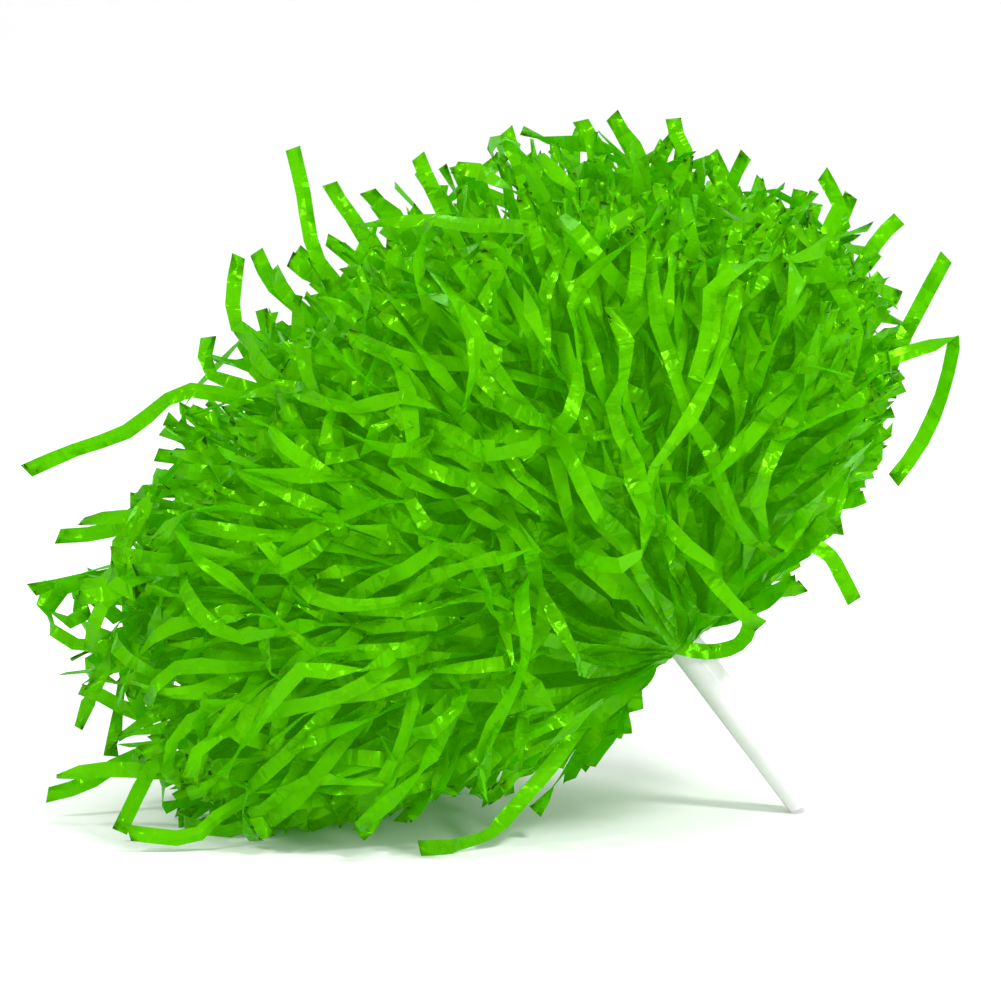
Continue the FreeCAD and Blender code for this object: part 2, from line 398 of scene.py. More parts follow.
turning = {
    # what turns the film's flat side: how strongly each pulls
    "bend": 1.2,
    "outward": (0.14, 0.20),       # inside the head, and what is added on its outer surface
    "looseToFront": 1.1,           # the listed streamers show their width
    "chance": (0.15, 0.55),        # at the heading, and what is added further out
    "root": (1.5, 0.8),            # at the first two stations it stays wrapped round the stick
    "rollTurn": (0.2, 2.1),        # slow roll: least and most, in radians
    "rollPitch": (0.055, 0.14),
    "looseRoll": 0.7,              # share of the roll that the listed streamers go without
}


def frameStreamers(random, points, arc, radial, limit, loose):
    # Each station gets a face direction. It is carried along without twist, then twisted so that
    # the film's flat side turns into each bend, and lies flat against the head's outer surface:
    # an angle and its opposite mean the same, so doubled angles are added up and halved again.
    count, stations, _ = points.shape
    leg = unit(np.diff(points, axis=1))
    heading = unit(np.concatenate([leg[:, :1], leg[:, :-1] + leg[:, 1:], leg[:, -1:]], 1) + 1e-7)
    face = np.empty_like(points)
    face[:, 0] = unit(radial - dot(radial, heading[:, 0]) * heading[:, 0])
    for i in range(stations - 1):
        chord = points[:, i + 1] - points[:, i]
        size = np.maximum(dot(chord, chord), 1e-12)
        mirrored = face[:, i] - 2 / size * dot(chord, face[:, i]) * chord
        turned = heading[:, i] - 2 / size * dot(chord, heading[:, i]) * chord
        second = heading[:, i + 1] - turned
        size = np.maximum(dot(second, second), 1e-12)
        face[:, i + 1] = unit(mirrored - 2 / size * dot(second, mirrored) * second)
    across = np.cross(heading, face)

    def doubled(vector, weight):
        n, w = dot(vector, face)[..., 0], dot(vector, across)[..., 0]
        size = np.maximum(np.hypot(n, w), 1e-9)
        return np.stack([(n * n - w * w) / size, 2 * n * w / size], -1) * weight[..., None]

    bend = np.zeros_like(points)
    bend[:, 1:-1] = leg[:, 1:] - leg[:, :-1]
    pull = doubled(bend, np.ones((count, stations)) * turning["bend"])
    level, outward = fullness(points.reshape(-1, 3), np.repeat(limit, stations))
    level, outward = level.reshape(count, stations), outward.reshape(points.shape)
    inside, added = turning["outward"]
    pull += doubled(outward, inside + added * smoothStep(0.5, 1.0, level))
    shown = np.broadcast_to(turning["looseToFront"] * loose[:, None], arc.shape)
    pull += doubled(np.broadcast_to(toFront, points.shape), shown)
    atRoot, added = turning["chance"]
    spread = (atRoot + added * smoothStep(0.02, 0.12, arc))[..., None]
    pull += random.normal(0, 1, (count, stations, 2)) * spread
    pull[:, 0] = (turning["root"][0], 0.0)
    pull[:, 1] += (turning["root"][1], 0.0)
    for _ in range(2):
        pull[:, 1:-1] = 0.25 * pull[:, :-2] + 0.5 * pull[:, 1:-1] + 0.25 * pull[:, 2:]
    twist = 0.5 * np.unwrap(np.arctan2(pull[..., 1], pull[..., 0]), axis=1)
    # and it rolls over slowly, one way and the other, as it goes
    rolls = 1 - turning["looseRoll"] * loose[:, None]
    rollSize = random.uniform(*turning["rollTurn"], (count, 1)) * rolls
    rollPitch = random.uniform(*turning["rollPitch"], (count, 1))
    rollStart = random.uniform(0, 2 * math.pi, (count, 1))
    roll = np.sin(arc * 2 * math.pi / rollPitch + rollStart)
    twist = twist + rollSize * smoothStep(0.03, 0.10, arc) * roll
    twist = twist[..., None]
    finalFace = np.cos(twist) * face + np.sin(twist) * across
    finalAcross = np.cos(twist) * across - np.sin(twist) * face
    return heading, finalFace, finalAcross


def filmMesh(name, random, points, arc, heading, face, across, tone):
    # Cross-section at each station: left edge, right edge, and a fold line raised between them.
    # Three strips of quads close it round, and a triangle closes each end.
    count, stations, _ = points.shape
    half = film["width"] / 2
    wave = random.uniform(0, 2 * math.pi, (count, 1))
    fold = film["thickness"] + film["foldRise"] * random.uniform(size=(count, 1)) ** film["foldRisePower"]
    keptMiddle, keptSwing = film["foldKept"]
    foldWaves = random.uniform(*film["foldPitch"], (count, 1))
    fold = fold * (keptMiddle + keptSwing * np.sin(arc * foldWaves + wave))
    left = points - across * half
    right = points + across * half
    slant = random.uniform(-film["tipSlant"], film["tipSlant"], (count, 1))
    left[:, -1] += heading[:, -1] * slant
    right[:, -1] -= heading[:, -1] * slant
    middle = points + face * fold[..., None]
    verts = np.stack([left, middle, right], 2)
    sunk = np.maximum(head["floorGap"] - verts[..., 2].min(2), 0)
    verts[..., 2] += sunk[..., None]
    verts = verts.reshape(-1, 3)

    first = (np.arange(count) * stations * 3)[:, None, None]
    row = (np.arange(stations - 1) * 3)[None, :, None]
    quad = np.array([[0, 1, 4, 3], [1, 2, 5, 4], [2, 0, 3, 5]])
    quads = (first[..., None] + row[..., None] + quad[None, None]).reshape(-1, 4)
    last = 3 * (stations - 1)
    caps = (first + np.array([[0, 2, 1], [last, last + 1, last + 2]])[None]).reshape(-1, 3)

    mesh = bpy.data.meshes.new(name)
    mesh.vertices.add(len(verts))
    mesh.vertices.foreach_set("co", verts.astype(np.float32).ravel())
    corners = np.concatenate([quads.ravel(), caps.ravel()])
    starts = np.concatenate([np.arange(len(quads)) * 4, len(quads) * 4 + np.arange(len(caps)) * 3])
    mesh.loops.add(len(corners))
    mesh.loops.foreach_set("vertex_index", corners.astype(np.int32))
    mesh.polygons.add(len(starts))
    mesh.polygons.foreach_set("loop_start", starts.astype(np.int32))
    mesh.update(calc_edges=True)
    mesh.polygons.foreach_set("use_smooth", np.ones(len(starts), dtype=bool))

    # edges along the film are sharp, and so is a crease across it that turns by more than the limit
    ends = np.empty(len(mesh.edges) * 2, dtype=np.int32)
    mesh.edges.foreach_get("vertices", ends)
    ends = ends.reshape(-1, 2)
    lengthwise = np.abs(ends[:, 0] - ends[:, 1]) >= 3
    bendCos = np.ones((count, stations))
    leg = unit(np.diff(points, axis=1))
    bendCos[:, 1:-1] = dot(leg[:, 1:], leg[:, :-1])[..., 0]
    creased = bendCos.ravel()[ends[:, 0] // 3] < math.cos(math.radians(film["creaseLimit"]))
    sharp = mesh.attributes.new("sharp_edge", "BOOLEAN", "EDGE")
    sharp.data.foreach_set("value", lengthwise | creased)

    # the film's own lengths as its UV map: across and along, in metres, each on its own stretch
    start = random.uniform(0, 6, (count, 1, 1))
    u = np.broadcast_to(np.array([0.0, half, 2 * half]), (count, stations, 3)) + start
    v = np.broadcast_to(arc[..., None], (count, stations, 3)) + start
    uv = np.stack([u, v], -1).reshape(-1, 2)[corners]
    layer = mesh.uv_layers.new(name="film")
    layer.data.foreach_set("uv", uv.astype(np.float32).ravel())
    shade = mesh.attributes.new("tone", "FLOAT", "POINT")
    shade.data.foreach_set("value", np.repeat(tone, stations * 3).astype(np.float32))
    mesh.validate()
    return mesh


filmPaint = {
    "deep": (0.085, 0.370, 0.000, 1.0),
    "middle": (0.105, 0.450, 0.000, 1.0),
    "light": (0.150, 0.560, 0.001, 1.0),
    "through": (0.200, 0.760, 0.000, 1.0),   # light that comes through the film
    "throughShare": 0.48,
    "paintedGlow": (0.085, 0.400, 0.0, 1.0),        # painted glow: a faint even emission that lifts the shade between the streamers
    "paintedGlowStrength": 0.30,
    "sheen": 0.19,                           # share of reflection in the film's own colour
    "toneDrift": (22.0, 0.45, 0.22),         # slow drifts of tone: scale, strength, what is taken off
    "facetSize": 0.0040,                     # crumpled facets: size along the film, in metres
    "facetSpread": 0.40,                     # below 1 they are wider across the film than along it
    "facetTilt": 1.2,
    "patchScale": 38.0,                      # the crumple comes in patches
    "patchEdge": (0.43, 0.56),
    "calmShare": 0.03,                       # share of the crumple left between the patches
    "creaseLines": 900.0,                    # fine creases across the film, per metre
    "creaseSpread": 0.18,                    # below 1 they run on across the film
    "creaseDepth": 0.00010,
    "unevenScale": 120.0,
    "unevenness": 0.0008,
    "roughness": (0.13, 0.30),
    "index": 1.42,                           # refractive index
    "gloss": 0.13,                           # strength of its reflections
    "glossTint": (0.45, 1.0, 0.20, 1.0),
}


def newMaterial(name):
    material = bpy.data.materials.new(name)
    material.use_nodes = True
    tree = material.node_tree
    return material, tree.nodes, tree.links, tree.nodes["Principled BSDF"]


def addNoise(nodes, links, vector, scale, detail=3.0):
    noise = nodes.new("ShaderNodeTexNoise")
    noise.inputs["Scale"].default_value = scale
    noise.inputs["Detail"].default_value = detail
    links.new(vector, noise.inputs["Vector"])
    return noise.outputs["Fac"]


def addMath(nodes, links, kind, operation, *values):
    # each value is a constant or another node's output
    node = nodes.new("ShaderNode" + kind)
    node.operation = operation
    for k, value in enumerate(values):
        if isinstance(value, bpy.types.NodeSocket):
            links.new(value, node.inputs[k])
        else:
            node.inputs[k].default_value = value
    vector = kind == "VectorMath" and operation != "DOT_PRODUCT"
    return node.outputs["Vector" if vector else "Value"]


def addRange(nodes, links, value, low, high, ends=(0.3, 0.7)):
    spread = nodes.new("ShaderNodeMapRange")
    spread.inputs["From Min"].default_value = ends[0]
    spread.inputs["From Max"].default_value = ends[1]
    spread.inputs["To Min"].default_value = low
    spread.inputs["To Max"].default_value = high
    links.new(value, spread.inputs["Value"])
    return spread.outputs["Result"]


def addBump(nodes, links, height, depth, shader):
    bump = nodes.new("ShaderNodeBump")
    bump.inputs["Distance"].default_value = depth
    links.new(height, bump.inputs["Height"])
    links.new(bump.outputs["Normal"], shader.inputs["Normal"])
    return bump.outputs["Normal"]


def addColours(nodes, links, value, one, other, shader):
    ramp = nodes.new("ShaderNodeValToRGB")
    ramp.color_ramp.elements[0].color = one
    ramp.color_ramp.elements[0].position = 0.3
    ramp.color_ramp.elements[1].color = other
    ramp.color_ramp.elements[1].position = 0.7
    links.new(value, ramp.inputs["Fac"])
    links.new(ramp.outputs["Color"], shader.inputs["Base Color"])


def filmMaterial():
    material, nodes, links, shader = newMaterial("lime film")
    stretch = nodes.new("ShaderNodeUVMap")
    stretch.uv_map = "film"
    where = stretch.outputs["UV"]
    tone = nodes.new("ShaderNodeAttribute")
    tone.attribute_name = "tone"

    # colour: the streamer's own tone, with slow drifts along it
    driftScale, driftStrength, evening = filmPaint["toneDrift"]
    drift = addNoise(nodes, links, where, driftScale, 2.0)
    evened = addMath(nodes, links, "Math", "SUBTRACT", tone.outputs["Fac"], evening)
    mixed = addMath(nodes, links, "Math", "MULTIPLY_ADD", drift, driftStrength, evened)
    ramp = nodes.new("ShaderNodeValToRGB")
    ramp.color_ramp.elements[0].color = filmPaint["deep"]
    ramp.color_ramp.elements[1].color = filmPaint["light"]
    ramp.color_ramp.elements.new(0.5).color = filmPaint["middle"]
    links.new(mixed, ramp.inputs["Fac"])
    links.new(ramp.outputs["Color"], shader.inputs["Base Color"])

    # crumple: each cell of the film is a small facet tilted its own way, with fine creases, both
    # in patches, over a gentle unevenness everywhere; heights are in metres
    wide = (filmPaint["facetSpread"], 1.0, 1.0)
    spread = addMath(nodes, links, "VectorMath", "MULTIPLY", where, wide)
    cells = nodes.new("ShaderNodeTexVoronoi")
    cells.inputs["Scale"].default_value = 1.0 / filmPaint["facetSize"]
    links.new(spread, cells.inputs["Vector"])
    fromMiddle = addMath(nodes, links, "VectorMath", "SUBTRACT", spread, cells.outputs["Position"])
    slope = addMath(nodes, links, "VectorMath", "SUBTRACT", cells.outputs["Color"], (0.5, 0.5, 0.5))
    facet = addMath(nodes, links, "VectorMath", "DOT_PRODUCT", fromMiddle, slope)
    patch = addNoise(nodes, links, where, filmPaint["patchScale"], 1.0)
    calm = filmPaint["facetTilt"] * filmPaint["calmShare"]
    patches = addRange(nodes, links, patch, calm, filmPaint["facetTilt"], filmPaint["patchEdge"])
    wide = (filmPaint["creaseSpread"], 1.0, 1.0)
    skew = addMath(nodes, links, "VectorMath", "MULTIPLY", where, wide)
    crease = addNoise(nodes, links, skew, filmPaint["creaseLines"], 1.0)
    folds = addMath(nodes, links, "Math", "MULTIPLY_ADD", crease, filmPaint["creaseDepth"], facet)
    crumple = addMath(nodes, links, "Math", "MULTIPLY", folds, patches)
    warp = addNoise(nodes, links, where, filmPaint["unevenScale"], 2.0)
    height = addMath(nodes, links, "Math", "MULTIPLY_ADD", warp, filmPaint["unevenness"], crumple)
    normal = addBump(nodes, links, height, 1.0, shader)

    roughness = addRange(nodes, links, drift, *filmPaint["roughness"], (0.0, 1.0))
    links.new(roughness, shader.inputs["Roughness"])
    shader.inputs["IOR"].default_value = filmPaint["index"]
    shader.inputs["Specular IOR Level"].default_value = filmPaint["gloss"]
    shader.inputs["Metallic"].default_value = filmPaint["sheen"]
    shader.inputs["Specular Tint"].default_value = filmPaint["glossTint"]
    # painted glow: the film gives off a faint light of its own, which lifts its shaded parts
    shader.inputs["Emission Color"].default_value = filmPaint["paintedGlow"]
    shader.inputs["Emission Strength"].default_value = filmPaint["paintedGlowStrength"]

    through = nodes.new("ShaderNodeBsdfTranslucent")
    through.inputs["Color"].default_value = filmPaint["through"]
    links.new(normal, through.inputs["Normal"])
    both = nodes.new("ShaderNodeMixShader")
    both.inputs["Fac"].default_value = filmPaint["throughShare"]
    links.new(shader.outputs["BSDF"], both.inputs[1])
    links.new(through.outputs["BSDF"], both.inputs[2])
    links.new(both.outputs["Shader"], nodes["Material Output"].inputs["Surface"])
    return material


plastics = {
    "stickWhite": (0.78, 0.78, 0.775, 1.0),
    "plugWhite": (0.74, 0.74, 0.73, 1.0),
    "drawLines": 420.0,        # fine lines along the drawn tube, per metre
    "lineDepth": 0.00004,
    "mottle": 60.0,            # scale of the slow unevenness
    "dimmer": 0.93,            # the darkest tone, as a share of the plain one
    "roughness": (0.16, 0.30),
    "coat": 0.25,
}
rolled = {
    "ringsPerMetre": 880.0,
    "ringDepth": 0.0001,
    "wobble": 1.5,             # how far the rings stray from round
    "mottle": 300.0,
    "roughness": (0.22, 0.45),
    "green": (0.070, 0.330, 0.000, 1.0),
    "greenEdge": (0.130, 0.520, 0.002, 1.0),
}
tape = {
    "milk": (0.80, 0.83, 0.76, 1.0),
    "glue": (0.70, 0.76, 0.62, 1.0),
    "cloud": 180.0,
    "wrinkles": 260.0,
    "wrinkleDepth": 0.00012,
    "roughness": (0.15, 0.40),
}
wire = {
    "steel": (0.60, 0.60, 0.62, 1.0),
    "worn": (0.42, 0.42, 0.44, 1.0),
    "scuffs": 2500.0,
    "roughness": (0.22, 0.45),
}


def stickCoordinates(nodes, links, stretch):
    # the object's own coordinates, moved to the headings' top, turned until the stick stands along Z,
    # then stretched
    where = nodes.new("ShaderNodeTexCoord")
    shift = nodes.new("ShaderNodeVectorMath")
    shift.operation = "SUBTRACT"
    shift.inputs[1].default_value = tuple(headTop)
    turn = nodes.new("ShaderNodeMapping")
    turn.inputs["Rotation"].default_value = (0.0, math.atan2(-along[0], along[2]), 0.0)
    pull = nodes.new("ShaderNodeMapping")
    pull.inputs["Scale"].default_value = stretch
    links.new(where.outputs["Object"], shift.inputs[0])
    links.new(shift.outputs[0], turn.inputs["Vector"])
    links.new(turn.outputs["Vector"], pull.inputs["Vector"])
    return pull.outputs["Vector"]


def stickMaterial(name, tone, lines):
    # drawn plastic: faint lines along the stick, and a slow unevenness in gloss and tone
    material, nodes, links, shader = newMaterial(name)
    slow = addNoise(nodes, links, stickCoordinates(nodes, links, (1.0, 1.0, 1.0)), plastics["mottle"])
    fine = addNoise(nodes, links, stickCoordinates(nodes, links, (1.0, 1.0, lines)), plastics["drawLines"])
    dimmer = tuple(plastics["dimmer"] * c for c in tone[:3]) + (1.0,)
    addColours(nodes, links, slow, dimmer, tone, shader)
    links.new(addRange(nodes, links, slow, *plastics["roughness"]), shader.inputs["Roughness"])
    addBump(nodes, links, fine, plastics["lineDepth"], shader)
    shader.inputs["Coat Weight"].default_value = plastics["coat"]
    return material


def rolledFilmMaterial():
    # film rolled in many turns: rings round the stick where its edges show
    material, nodes, links, shader = newMaterial("rolled film")
    where = stickCoordinates(nodes, links, (1.0, 1.0, 1.0))
    rings = nodes.new("ShaderNodeTexWave")
    rings.wave_type = "RINGS"
    rings.rings_direction = "Z"
    rings.inputs["Scale"].default_value = rolled["ringsPerMetre"]
    rings.inputs["Distortion"].default_value = rolled["wobble"]
    links.new(where, rings.inputs["Vector"])
    addColours(nodes, links, rings.outputs["Fac"], rolled["green"], rolled["greenEdge"], shader)
    uneven = addNoise(nodes, links, where, rolled["mottle"])
    links.new(addRange(nodes, links, uneven, *rolled["roughness"]), shader.inputs["Roughness"])
    addBump(nodes, links, rings.outputs["Fac"], rolled["ringDepth"], shader)
    return material


def tapeMaterial():
    # milky film over glue: small wrinkles round the stick, cloudy where the glue is thick
    material, nodes, links, shader = newMaterial("milky tape")
    cloud = addNoise(nodes, links, stickCoordinates(nodes, links, (1.0, 1.0, 1.0)), tape["cloud"])
    around = stickCoordinates(nodes, links, (0.3, 0.3, 2.5))
    wrinkle = addNoise(nodes, links, around, tape["wrinkles"], 4.0)
    addColours(nodes, links, cloud, tape["glue"], tape["milk"], shader)
    links.new(addRange(nodes, links, wrinkle, *tape["roughness"]), shader.inputs["Roughness"])
    addBump(nodes, links, wrinkle, tape["wrinkleDepth"], shader)
    return material


def wireMaterial():
    material, nodes, links, shader = newMaterial("staple steel")
    where = stickCoordinates(nodes, links, (1.0, 1.0, 0.2))
    scuff = addNoise(nodes, links, where, wire["scuffs"])
    addColours(nodes, links, scuff, wire["worn"], wire["steel"], shader)
    links.new(addRange(nodes, links, scuff, *wire["roughness"]), shader.inputs["Roughness"])
    shader.inputs["Metallic"].default_value = 1.0
    return material


def paint(nodeNames, material):
    for name in nodeNames:
        piece = frame["nodes"][name]
        piece.data.materials.clear()
        piece.data.materials.append(material)


limeFilm = filmMaterial()
paint(["handle_tube"], stickMaterial("stick plastic", plastics["stickWhite"], 0.02))
paint(["handle_end_plug"], stickMaterial("plug plastic", plastics["plugWhite"], 1.0))
paint(["core_heading", "inner_heading", "outer_heading"], rolledFilmMaterial())
paint(["binding_tape"], tapeMaterial())
paint(["staples"], wireMaterial())
print("materials ready")


# the tufts, by the direction each streamer sets out in
tuftPlan = {
    "coreLean": 14.0,          # up to this lean from the stick's line, in degrees, it is the core's
    "innerLean": 46.0,         # and up to this one an inner tuft's
    "straightCount": 2100,
    "foldedCount": 420,        # these run back down outside the headings first
    "borderBlur": 7.0,         # degrees over which neighbours mix at their borders
    "coreRing": (0.0008, 0.0042),   # distance from the stick's middle at the headings' top
    "innerRing": (0.0077, 0.0085),
    "outerRing": (0.0096, 0.0116),
    "fullReach": 1.045,        # where a streamer is trimmed, as a share of the head's reach
    "shortBy": 0.30,           # how much shorter the shortest are
    "shortPower": 1.2,         # above 1, so that more are long than short
    "longShare": 0.05,         # share of the streamers that stand out, and by how much
    "longBy": 0.04,
    "foldedShort": 0.35,       # share of the folded streamers that end inside the head, and where
    "foldedReach": (0.30, 0.75),
    "foldedLean": (0.50, 1.05),     # their lean, as a share of the widest
    "lengthShare": (0.93, 1.0),
    "wander": (0.5, 1.3),      # how strongly a streamer swings and kinks
    "toneSpread": 0.22,
    "looseLean": 66.0,         # the listed ones lean this much at least, so they join outer tufts
    "looseRing": 0.0105,       # where their film starts, and how far it runs straight
    "looseStraight": 0.006,
    "looseSink": 0.002,
    "hingeSpan": 0.06,         # length of film next to its joint
    "hingeLean": (28.0, 68.0),      # lean of that length, in the inner and outer tufts
    "seed": 20417,
}
tuftJoints = {j["child"]: j for j in frame["record"]["behaviour"]["joints"]}
tuftNames = sorted(tuftJoints)


def hingeAzimuth(name):
    q = np.array(tuftJoints[name]["pos_m"]) - headTop
    return math.atan2(q @ toFront, q @ toFloor)


innerNames = [n for n in tuftNames if n.startswith("inner")]
outerNames = [n for n in tuftNames if n.startswith("outer")]


def nearestTuft(azimuth, names):
    at = np.array([hingeAzimuth(n) for n in names])
    gap = np.abs(np.angle(np.exp(1j * (azimuth[:, None] - at[None]))))
    return np.array(names)[np.argmin(gap, axis=1)]


def sortIntoTufts(random, azimuth, lean):
    blur = math.radians(tuftPlan["borderBlur"])
    blurredLean = np.degrees(lean + random.normal(0, blur, len(lean)) * 0.7)
    blurredAzimuth = azimuth + random.normal(0, blur, len(lean)) / np.maximum(np.sin(lean), 0.2)
    inner = nearestTuft(blurredAzimuth, innerNames)
    outer = nearestTuft(blurredAzimuth, outerNames)
    tuft = np.where(blurredLean < tuftPlan["innerLean"], inner, outer)
    return np.where(blurredLean < tuftPlan["coreLean"], "core_tuft", tuft)


def openingAngle(azimuth):
    side, frontal = math.radians(head["openSide"]), math.radians(head["openFront"])
    return frontal + (side - frontal) * np.cos(azimuth) ** 2


def spreadDirections(random, count):
    # evenly over the part of a sphere that the head opens to
    azimuth = random.uniform(-math.pi, math.pi, count * 4)
    lean = np.arccos(1 - random.uniform(size=count * 4) * (1 - math.cos(math.radians(head["openSide"]))))
    keep = lean < openingAngle(azimuth)
    return azimuth[keep][:count], lean[keep][:count]


# streamers that stand clear of the head, each by the points it passes after its heading:
# along the stick, towards the floor, towards the front, in metres from the headings' top
looseStreamers = [
    [(0.107, 0.045, 0.040), (0.180, 0.093, 0.030), (0.183, 0.127, 0.022), (0.190, 0.150, 0.020),
     (0.195, 0.172, 0.018)],
    [(0.122, 0.019, 0.030), (0.190, 0.024, 0.005), (0.200, 0.021, 0.003), (0.215, 0.013, 0.0),
     (0.233, 0.005, -0.002)],
    [(0.123, 0.008, 0.025), (0.195, 0.002, 0.010), (0.204, 0.002, 0.008), (0.213, 0.001, 0.008)],
    [(0.118, 0.027, 0.060), (0.190, 0.065, 0.020), (0.202, 0.058, 0.014), (0.212, 0.048, 0.012)],
    [(0.110, 0.028, -0.020), (0.192, 0.046, -0.010), (0.200, 0.045, -0.008), (0.208, 0.043, -0.008)],
    [(0.115, 0.040, 0.020), (0.180, 0.086, 0.014), (0.189, 0.083, 0.012), (0.193, 0.078, 0.010)],
    [(0.113, 0.0, 0.0), (0.187, -0.012, 0.0), (0.195, -0.009, 0.0), (0.201, -0.009, 0.002)],
    [(0.105, -0.014, 0.020), (0.182, -0.030, 0.006), (0.192, -0.032, 0.004), (0.200, -0.034, 0.002)],
    [(0.099, -0.010, -0.030), (0.175, -0.040, -0.020), (0.181, -0.042, -0.020), (0.186, -0.043, -0.020)],
    [(0.094, -0.027, 0.010), (0.169, -0.064, 0.006), (0.179, -0.066, 0.004), (0.187, -0.069, 0.004)],
    [(0.079, -0.041, -0.010), (0.153, -0.093, -0.012), (0.163, -0.094, -0.010), (0.171, -0.095, -0.010)],
    [(0.076, -0.055, 0.030), (0.145, -0.106, 0.010), (0.157, -0.106, 0.006), (0.166, -0.107, 0.004)],
    [(0.067, -0.063, 0.010), (0.138, -0.123, 0.006), (0.146, -0.123, 0.004), (0.150, -0.126, 0.004)],
    [(0.044, -0.081, 0.020), (0.081, -0.158, 0.010), (0.088, -0.160, 0.008), (0.096, -0.161, 0.008)],
    [(0.030, -0.076, -0.030), (0.072, -0.153, -0.020), (0.076, -0.160, -0.020), (0.079, -0.165, -0.020)],
    [(0.032, -0.082, 0.010), (0.059, -0.159, 0.006), (0.061, -0.166, 0.004), (0.062, -0.175, 0.004)],
    [(0.001, -0.059, 0.030), (-0.010, -0.107, 0.022), (0.004, -0.120, 0.016), (0.018, -0.138, 0.014),
     (0.029, -0.160, 0.012), (0.039, -0.181, 0.012)],
    [(0.007, -0.069, 0.050), (0.023, -0.129, 0.034), (0.019, -0.146, 0.028), (0.012, -0.163, 0.022),
     (0.013, -0.166, 0.020), (-0.003, -0.147, 0.024), (-0.014, -0.127, 0.028), (-0.019, -0.110, 0.030)],
    [(-0.007, -0.043, 0.030), (-0.014, -0.063, 0.034), (-0.026, -0.071, 0.034), (-0.038, -0.070, 0.033),
     (-0.049, -0.068, 0.032)],
    [(-0.014, 0.034, 0.040), (-0.023, 0.062, 0.060), (-0.027, 0.085, 0.072), (-0.029, 0.103, 0.080),
     (-0.025, 0.112, 0.084), (-0.024, 0.116, 0.088), (-0.017, 0.128, 0.092)],
    [(0.040, 0.081, 0.060), (0.061, 0.183, 0.060), (0.081, 0.214, 0.050), (0.090, 0.232, 0.046)],
    [(0.029, 0.089, 0.050), (0.071, 0.196, 0.060), (0.066, 0.208, 0.062), (0.059, 0.222, 0.066)],
    [(0.028, 0.090, 0.070), (0.042, 0.183, 0.080), (0.042, 0.197, 0.084), (0.059, 0.216, 0.086)],
    [(0.040, 0.081, 0.030), (0.085, 0.190, 0.024), (0.104, 0.202, 0.020), (0.110, 0.207, 0.018)],
    [(0.040, 0.081, 0.0), (0.075, 0.214, 0.010), (0.077, 0.230, 0.014), (0.083, 0.245, 0.016)],
    [(0.072, 0.062, 0.030), (0.135, 0.158, 0.024), (0.145, 0.179, 0.020), (0.146, 0.193, 0.018),
     (0.137, 0.197, 0.020), (0.134, 0.183, 0.024)],
    [(0.076, 0.059, 0.010), (0.148, 0.143, 0.0), (0.159, 0.160, -0.004), (0.163, 0.168, -0.006)],
    [(0.003, 0.015, 0.018), (0.001, 0.023, 0.024), (-0.013, 0.008, 0.022), (-0.030, -0.005, 0.019),
     (-0.037, -0.018, 0.018), (-0.034, -0.027, 0.016), (-0.023, -0.033, 0.014)],
    [(0.004, -0.020, 0.008), (-0.006, -0.036, 0.010), (-0.012, -0.052, 0.010), (-0.008, -0.070, 0.006)],
    [(0.006, -0.018, -0.004), (-0.003, -0.030, -0.008), (-0.013, -0.041, -0.006), (-0.024, -0.047, 0.0)],
    [(0.004, 0.018, 0.010), (-0.012, 0.028, 0.012), (-0.030, 0.036, 0.014), (-0.040, 0.040, 0.014)],
    [(0.004, 0.016, 0.016), (-0.014, 0.019, 0.020), (-0.026, 0.026, 0.020), (-0.034, 0.031, 0.018)],
]


def looseStreamer(spots):
    # A smooth curve through the heading and the given points, cut into stations of equal length. On each
    # stretch its slopes at both ends are as long as the stretch, so a short one isn't overshot.
    spots = np.array(spots)
    azimuth = math.atan2(spots[0, 2], spots[0, 1])
    ringSpot = np.array([0.0, math.cos(azimuth), math.sin(azimuth)]) * tuftPlan["looseRing"]
    sunk, straight = (tuftPlan["looseSink"], 0, 0), (tuftPlan["looseStraight"], 0, 0)
    path = np.concatenate([[ringSpot - sunk, ringSpot + straight], spots])
    ends = np.concatenate([path[:1], path, path[-1:]])
    t = np.linspace(0, 1, 12, endpoint=False)[None, :, None]
    p0, p1, p2, p3 = (ends[k:len(ends) - 3 + k, None] for k in range(4))
    stretch = np.linalg.norm(p2 - p1, axis=-1, keepdims=True)
    slope1, slope2 = unit(p2 - p0) * stretch, unit(p3 - p1) * stretch
    curve = (2 * t**3 - 3 * t**2 + 1) * p1 + (t**3 - 2 * t**2 + t) * slope1
    curve = curve + (3 * t**2 - 2 * t**3) * p2 + (t**3 - t**2) * slope2
    curve = np.concatenate([curve.reshape(-1, 3), path[-1:]])
    run = np.concatenate([[0], np.cumsum(np.linalg.norm(np.diff(curve, axis=0), axis=1))])
    arc = np.linspace(0, min(run[-1], film["length"]), film["stations"])
    even = np.stack([np.interp(arc, run, curve[:, k]) for k in range(3)], -1)
    middle = even[film["stations"] // 3]
    lean = math.atan2(math.hypot(middle[1], middle[2]), middle[0])
    return headTop + even @ np.array([along, toFloor, toFront]), arc, azimuth, lean


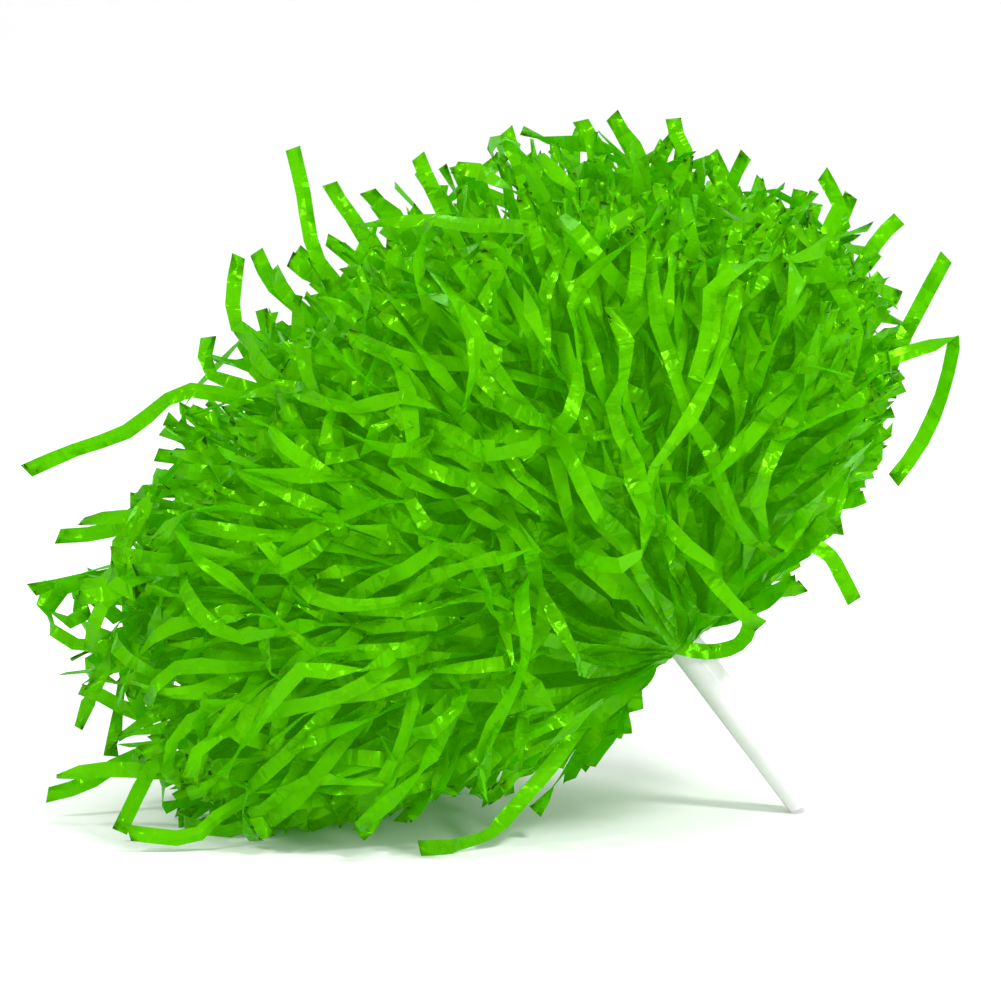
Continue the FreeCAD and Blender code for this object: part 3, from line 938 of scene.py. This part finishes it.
def makeStreamers():
    random = np.random.default_rng(tuftPlan["seed"])
    azimuth, lean = spreadDirections(random, tuftPlan["straightCount"])
    count = len(azimuth)
    foldedCount = tuftPlan["foldedCount"]
    foldAzimuth = np.linspace(-math.pi, math.pi, foldedCount, endpoint=False)
    foldAzimuth = foldAzimuth + random.normal(0, 0.05, foldedCount)
    foldLean = openingAngle(foldAzimuth) * random.uniform(*tuftPlan["foldedLean"], foldedCount)
    folded = np.concatenate([np.zeros(count, bool), np.ones(foldedCount, bool)])
    azimuth = np.concatenate([azimuth, foldAzimuth])
    lean = np.concatenate([lean, foldLean])
    tuft = sortIntoTufts(random, azimuth, lean)
    isOuter = np.char.startswith(tuft.astype(str), "outer")
    tuft = np.where(folded & ~isOuter, nearestTuft(azimuth, outerNames), tuft)

    total = len(azimuth)
    coreRing = random.uniform(*tuftPlan["coreRing"], total)
    innerRing = random.uniform(*tuftPlan["innerRing"], total)
    outerRing = random.uniform(*tuftPlan["outerRing"], total)
    isInner = np.char.startswith(tuft.astype(str), "inner")
    ring = np.select([tuft == "core_tuft", isInner], [coreRing, innerRing], outerRing)
    shorter = tuftPlan["shortBy"] * random.uniform(size=total) ** tuftPlan["shortPower"]
    limit = tuftPlan["fullReach"] - shorter
    isLong = random.uniform(size=total) < tuftPlan["longShare"]
    limit = np.where(isLong, limit + tuftPlan["longBy"], limit)
    isShort = folded & (random.uniform(size=total) < tuftPlan["foldedShort"])
    limit = np.where(isShort, random.uniform(*tuftPlan["foldedReach"], total), limit)
    length = film["length"] * random.uniform(*tuftPlan["lengthShare"], total)
    wander = random.uniform(*tuftPlan["wander"], total)
    points, arc = growStreamers(random, azimuth, lean, ring, length, limit, folded, wander)
    points, arc = trimStreamers(points, arc, limit)

    loose = [looseStreamer(spots) for spots in looseStreamers]
    points = np.concatenate([points, [one[0] for one in loose]])
    arc = np.concatenate([arc, [one[1] for one in loose]])
    looseAzimuth, looseLean = np.array([one[2] for one in loose]), np.array([one[3] for one in loose])
    outerLean = math.radians(tuftPlan["looseLean"])
    looseTuft = sortIntoTufts(random, looseAzimuth, np.maximum(looseLean, outerLean))
    azimuth, tuft = np.concatenate([azimuth, looseAzimuth]), np.concatenate([tuft, looseTuft])
    length, limit = arc[:, -1], np.concatenate([limit, np.ones(len(loose))])
    total = len(azimuth)
    isLoose = (np.arange(total) >= total - len(loose)).astype(float)
    heading, face, across = frameStreamers(random, points, arc, radialAt(azimuth), limit, isLoose)
    tone = np.clip(random.normal(0.5, tuftPlan["toneSpread"], total), 0, 1)
    print("streamers grown:", total)

    for name in tuftNames:
        mine = tuft == name
        mesh = filmMesh(name + "_film", random, points[mine], arc[mine], heading[mine],
                        face[mine], across[mine], tone[mine])
        mesh.materials.append(limeFilm)
        piece = bpy.data.objects.new(name + "_film", mesh)
        bpy.context.scene.collection.objects.link(piece)
        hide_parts(name)
        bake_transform(piece)
        print(name, int(mine.sum()), "streamers", len(mesh.polygons), "faces")


makeStreamers()
